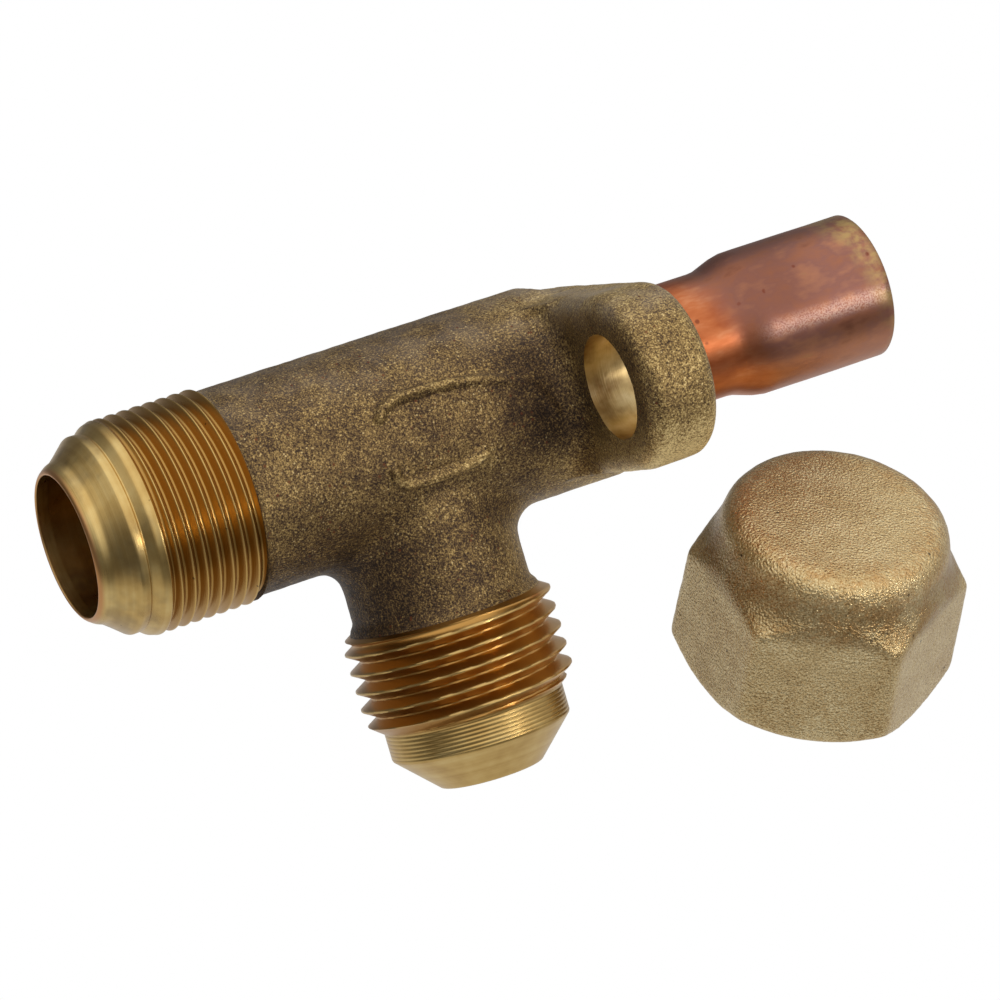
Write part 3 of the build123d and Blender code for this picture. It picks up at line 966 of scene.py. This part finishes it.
# %% [markdown]
# Nose end. It carries the fine M16 thread for the sealing cap, a shallow relief, a narrow land,
# a cone and a lip that is rolled inwards over the bore to keep the spindle in. One closed
# profile is spun, wall and bore together, and the thread is cut into it afterwards. The thread
# gets a point every 0.045 mm, so its narrow crests stay sharp.

# %% Nose end
nose_outline = rounded(
    [
        (NOSE_X + 1.0, 5.3),
        (NOSE_X + 0.06, 5.3),
        (NOSE_X, 5.42),
        (NOSE_X + 0.12, 5.62),
        (NOSE_X + 0.55, 5.93),
        (NOSE_X + 1.05, 6.12),
        (NOSE_X + 1.6, 6.55),
        (NOSE_X + 2.6, 7.4),
        (NOSE_X + 3.2, 7.38),
        (NOSE_X + 3.34, 7.28),
        (NOSE_X + 3.98, 7.84),
        (NOSE_X + 4.3, 7.93),
        (CAP_THREAD_START, CAP_THREAD_R),
    ],
    0.12,
)
nose_thread = [(CAP_THREAD_START, CAP_THREAD_R), (CAP_THREAD_END, CAP_THREAD_R)]
nose_back = [
    (CAP_THREAD_END, CAP_THREAD_R),
    (CAP_THREAD_END, 7.2),
    (CAP_THREAD_END + 0.3, 7.0),
    (CAP_THREAD_END + 0.3, HEAD_BORE_R),
    (NOSE_X + 1.0, HEAD_BORE_R),
]
nose = lathe(fine(nose_outline, 0.14) + fine(nose_thread, 0.045)[1:] + fine(nose_back, 0.5)[1:], 256)
moved = cut_thread(
    nose,
    CAP_THREAD_START + 0.02,
    CAP_THREAD_END + 0.01,
    crest=CAP_THREAD_R,
    depth=0.58,
    pitch=CAP_THREAD_PITCH,
    root_flat=0.16,
    crest_flat=0.05,
    fade=(0.5, 0.0),
)
nose.transform(X_FROM_Z)
print("nose thread moved", moved, "points")
finish_piece(
    "nose_end", nose, "valve", "turned_brass", nose_metal, replaces=("valve_body",), crisp=40.0
)

# %% [markdown]
# Flare end. The coarse 5/8-18 thread takes the flare nut, behind a short turned land with
# parting grooves and the 45 degree seat cone. It is drawn with its tip upwards, then turned
# over by flipping Z and the faces.

# %% Flare end
FLARE_THREAD_R = 7.9
FLARE_PITCH = 1.411
flare_outline = [
    (25.45, PORT_R),
    (25.5, 3.62),
    (25.5, 3.83),
    (25.46, 3.92),
    (22.68, 6.7),
    (22.55, 6.75),
    (20.55, 6.75),
    (20.5, 6.78),
]
flare_thread = [(20.5, 6.78), (19.6, FLARE_THREAD_R), (13.45, FLARE_THREAD_R), (13.0, 7.2)]
flare_back = [(13.0, 7.2), (12.8, 6.4), (12.8, PORT_R), (25.45, PORT_R)]
flare = lathe(fine(flare_outline, 0.12) + fine(flare_thread, 0.07)[1:] + fine(flare_back, 0.6)[1:-1], 256)
for vert in flare.verts:
    vert.co.z = -vert.co.z
bmesh.ops.reverse_faces(flare, faces=flare.faces)
moved = cut_thread(
    flare,
    -20.5,
    -12.9,
    crest=FLARE_THREAD_R,
    depth=0.92,
    pitch=FLARE_PITCH,
    root_flat=0.1,
    crest_flat=0.1,
    fade=(0.0, 0.9),
)
flare.transform(Matrix.Translation((FLARE_X, 0, 0)))
bmesh.ops.recalc_face_normals(flare, faces=flare.faces)
print("flare thread moved", moved, "points")
finish_piece(
    "flare_end", flare, "valve", "turned_brass", flare_metal, replaces=("valve_body",), crisp=40.0
)

# %% [markdown]
# Copper stub. A short tube is brazed into the flange, and its free end is swaged wider so that
# the line's own tube slides in. Soft bends and a slight unevenness make it look drawn.

# %% Copper stub
SWAGED_R = 5.5
stub_outline = [
    (STUB_SOCKET_X, 3.96),
    (STUB_SOCKET_X, TUBE_R),
    (9.0, TUBE_R),
    (9.6, 4.82),
    (10.4, 5.08),
    (11.2, 5.34),
    (12.0, 5.49),
    (12.8, SWAGED_R),
    (21.9, SWAGED_R),
    (22.0, 5.4),
    (22.0, 4.91),
    (21.9, 4.81),
    (12.0, 4.81),
    (9.0, 3.96),
]
stub = lathe(fine(stub_outline + stub_outline[:1], 0.5)[:-1], 160)
stub.transform(X_FROM_Z)
for vert in stub.verts:
    if vert.co.x > 0.5:
        vert.co.yz *= 1 + 0.004 * noise.noise(vert.co * 0.25)
finish_piece(
    "copper_stub_drawn", stub, "valve", "copper", copper_metal, replaces=("copper_stub",), crisp=45.0
)

# %% [markdown]
# Braze bead. The molten braze climbs the tube and spreads on the flange, so its section is a
# hollow slope. The bead swells and shrinks a little on its way round, but never into the tube.

# %% Braze bead
bead_outline = [
    (0.0, TUBE_R),
    (0.0, 5.85),
    (0.12, 5.7),
    (0.35, 5.25),
    (0.7, 4.95),
    (1.1, 4.8),
    (1.1, TUBE_R),
    (0.0, TUBE_R),
]
bead = lathe(fine(bead_outline, 0.2)[:-1], 128)
for vert in bead.verts:
    swell = 1 + 0.012 * noise.noise(vert.co * 0.5)
    vert.co.xy *= max(swell, TUBE_R / max(0.1, math.hypot(vert.co.x, vert.co.y)))
bead.transform(X_FROM_Z)
finish_piece(
    "braze_bead", bead, "valve", "braze", braze_metal, replaces=("braze_ring",), crisp=50.0
)

# %% [markdown]
# Sealing cap. It is forged like the body, so it is netted and dented the same way, in its own
# frame. More rounds of smoothing over its upper part give the soft crown and shoulder, and
# the hexagon's corners are drawn down a little where the shoulder meets them.

# %% Sealing cap: net and dents
CAP_CELL = 0.2
CORNER_DROP = 0.4
TAP_CLEARANCE = 0.1
TAP_R = CAP_THREAD_R + TAP_CLEARANCE
into_cap = cap_frame.inverted()


def in_the_well(co):
    """True on the wall of the cap's bored well, and inside it."""
    local = into_cap @ co
    return math.hypot(local.x, local.y) < TAP_R + 0.02 and local.z < 12.3


cap_blank = blank_of("sealing_cap", in_the_well)
cap_blank.transform(into_cap)
cap = even_net(cap_blank, "cap_net", CAP_CELL)
for _ in range(8):
    soften(cap, cap.verts)
for _ in range(8):
    soften(cap, [v for v in cap.verts if v.co.z > 6.0])
for vert in cap.verts:
    out = min(1.0, max(0.0, (math.hypot(vert.co.x, vert.co.y) - 8.8) / 1.4))
    vert.co.z -= CORNER_DROP * out * min(1.0, max(0.0, (vert.co.z - 5.0) / 3.0))
cap.normal_update()
for vert in cap.verts:
    co = vert.co
    if co.z > 0.15:
        lump = noise.fractal(co * 0.6, 1.0, 2.0, 3) * 0.025 + noise.noise(co * 2.0) * 0.012
        vert.co += vert.normal * (lump - 0.02)
print("cap net", len(cap.verts), "points")

# %% [markdown]
# The well is bored and tapped last, with a cutter that carries the mating thread. Along the
# thread the cutter has a ring every 0.07 mm, so that the helix comes out smooth.

# %% Sealing cap: bore and tap
tap_foot = [(-1.0, 0), (-1.0, TAP_R)]
tap_thread = fine([(-1.0, TAP_R), (9.0, TAP_R)], 0.07)[1:]
tap_top = [(9.0, 6.9), (12.0, 6.9), (12.2, 6.6), (12.2, 0)]
tap = lathe(fine(tap_foot, 2) + tap_thread + tap_top, 192, closed=False)
moved = cut_thread(
    tap,
    0.0,
    8.9,
    crest=TAP_R,
    depth=0.55,
    pitch=CAP_THREAD_PITCH,
    root_flat=0.12,
    crest_flat=0.2,
)
print("tap's thread moved", moved, "points")
cap = cut_with(cap, "cap_tapped", [tap])
cap.transform(cap_frame)
finish_piece(
    "sealing_cap_forged",
    cap,
    "valve",
    "cap_brass",
    cap_metal,
    tapped_metal,
    replaces=("sealing_cap",),
    crisp=38.0,
)

# %% [markdown]
# The spindle and its O-ring keep their CAD meshes: their shapes are plain turned ones and only
# the hexagon key socket shows. They get the drilled-brass and rubber finishes.

# %% Spindle and ring
for node, material in (("valve_stem", drilled_metal), ("stem_o_ring", ring_black)):
    for spot in nodes[node].material_slots:
        spot.material = material
    print(node, "wears", material.name)

# %% [markdown]
# Floor. A pale floor lies well below everything. To the camera it is white paper that keeps a
# part of the shadow near the object. It is hidden from glossy rays, so that the metals
# reflect the room of the next cell and not the floor's lamp-lit patch.

# %% Floor
FLOOR_Z = -0.100
floor_mesh = bmesh.new()
bmesh.ops.create_grid(floor_mesh, x_segments=1, y_segments=1, size=4.0)
bmesh.ops.translate(floor_mesh, verts=floor_mesh.verts, vec=(0, 0, FLOOR_Z))
floor_data = bpy.data.meshes.new("studio_floor")
floor_mesh.to_mesh(floor_data)
floor_mesh.free()
floor = bpy.data.objects.new("studio_floor", floor_data)
bpy.context.collection.objects.link(floor)
floor.visible_glossy = False

paper = Finish("floor_paper", Roughness=0.9, Base_Color=(0.88, 0.88, 0.88, 1))
to_camera = paper.node("LightPath", out="Is Camera Ray")
far = from_axis(paper.x, paper.y).rise(60.0, 160.0)
glow = paper.node("Emission", (), {"Color": (1, 1, 1, 1), "Strength": 1.0})
lit_paper = Wire(paper.shader.outputs[0])
white_paper = paper.node("MixShader", (), {0: to_camera * (0.6 + far * 0.4), 1: lit_paper, 2: glow})
paper.tree.links.new(white_paper.socket, paper.tree.nodes["Material Output"].inputs["Surface"])
floor_data.materials.append(paper.material)
print("floor at", FLOOR_Z, "m, white to the camera away from the shadow")

# %% [markdown]
# World. The camera and clear rays see plain white, and the room's soft light is half as bright.
# Polished metal needs something to reflect, so glossy rays see a room: a pale table below,
# walls round the horizon that are darker, least so at the right, and a brighter ceiling. The
# room's upright isn't Blender's Z, because the valve keeps its own axes and lies tilted in it.

# %% World
UPRIGHT = (0.109, -0.6375, 0.763)
world = bpy.data.worlds.new("studio_world")
bpy.context.scene.world = world
world.use_nodes = True
sky = world.node_tree
sky.nodes.clear()
path = sky.nodes.new("ShaderNodeLightPath")
camera_ray, glossy_ray, clear_ray = (
    Wire(path.outputs[name]) for name in ("Is Camera Ray", "Is Glossy Ray", "Is Transmission Ray")
)
direction = Wire.node(sky, "TexCoord", out="Generated")
upwards = {0: direction, 1: UPRIGHT}
lift = Wire.node(sky, "VectorMath", {"operation": "DOT_PRODUCT"}, upwards, "Value")
right = Wire.node(sky, "SeparateXYZ", (), {0: direction}, "X").rise(0.2, 0.9)
walls = lift.bump(-0.62, -0.3, 0.1, 0.5) * (1 - right * 0.7)
room_gloss = 0.7 + lift.rise(0.4, 0.74) * 0.5 - walls * 0.54
seen = camera_ray.maths("MAXIMUM", clear_ray)
level = seen + (1 - seen) * (glossy_ray * room_gloss + (1 - glossy_ray) * 0.5)
room = Wire.node(sky, "Background", (), {"Color": (1, 1, 1, 1), "Strength": level})
sky.links.new(room.socket, sky.nodes.new("ShaderNodeOutputWorld").inputs["Surface"])
print("world has", len(sky.nodes), "nodes")

# %% [markdown]
# Lamps. A big soft lamp above shades the barrel from bright crest to dark underside, and a
# weaker one fills from the right. Both are hidden from reflections. A small, narrow lamp low
# in front stands for a window. It is the only lamp that the metals reflect.


# %% Lamps
def soft_lamp(name, place, size, power, target=(-0.012, 0, -0.008), height=None):
    """An area lamp aimed at target: a disk, or a rectangle where a height is given."""
    data = bpy.data.lights.new(name, "AREA")
    data.shape = "RECTANGLE" if height else "DISK"
    data.size = size
    data.size_y = height or size
    data.energy = power
    lamp = bpy.data.objects.new(name, data)
    lamp.location = place
    lamp.rotation_euler = (Vector(target) - Vector(place)).to_track_quat("-Z", "Y").to_euler()
    bpy.context.collection.objects.link(lamp)
    print(name, "gives", power, "W")
    return lamp


lamp_above = soft_lamp("lamp_above", (0.05, -0.38, 0.46), 0.45, 3.0)
lamp_above.visible_glossy = False
lamp_right = soft_lamp("lamp_right", (0.6, -0.3, 0.15), 0.3, 0.9)
lamp_right.visible_glossy = False
window_place = (0.122, -0.300, -0.079)
lamp_window = soft_lamp("lamp_window", window_place, 0.085, 0.13, target=(-0.01, 0, -0.008), height=0.026)
lamp_window.visible_camera = False

# %% [markdown]
# Last, the plain view transform.

# %% View transform
bpy.context.scene.view_settings.view_transform = "Standard"
